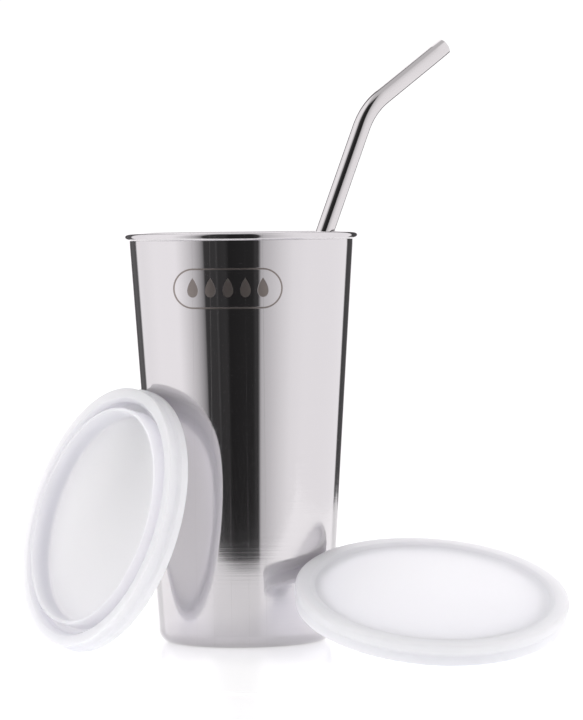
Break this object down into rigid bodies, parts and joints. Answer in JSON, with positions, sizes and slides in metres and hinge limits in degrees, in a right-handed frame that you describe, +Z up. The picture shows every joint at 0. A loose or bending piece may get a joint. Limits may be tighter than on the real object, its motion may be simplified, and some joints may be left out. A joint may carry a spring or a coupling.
{
  "type": "sippy cup",
  "caption": "Tapered steel tumbler with a rolled rim, a bent steel drinking straw standing in it and soft silicone lids with a sunken panel set down beside it.",
  "frame": {"origin": "centre of the tumbler's base, on the surface that it stands on", "axes": "+Z up along the tumbler's axis, -Y towards the front, +X towards the side that the straw leans to"},
  "size_m": [0.1755, 0.1346, 0.1974],
  "materials": {
    "tumbler_steel": "polished, with fine turning lines",
    "straw_steel": "polished",
    "lid_silicone": "translucent milky silicone, satin"
  },
  "bodies": {
    "tumbler": {"tumbler": "tumbler_steel"},
    "straw": {"straw": "straw_steel"},
    "leaning_lid": {"leaning_lid": "lid_silicone"},
    "lying_lid": {"lying_lid": "lid_silicone"}
  },
  "joints": [
    {"name": "straw_lift", "type": "slide", "parent": "tumbler", "child": "straw", "axis": [0.3364, 0.2252, 0.9144], "range_m": [0, 0.16]},
    {"name": "leaning_lid_lift", "type": "slide", "parent": "tumbler", "child": "leaning_lid", "axis": [-0.8118, -0.4955, 0.309], "range_m": [0, 0.12]},
    {"name": "lying_lid_lift", "type": "slide", "parent": "tumbler", "child": "lying_lid", "axis": [0.0664, -0.3069, 0.9494], "range_m": [0, 0.12]}
  ]
}
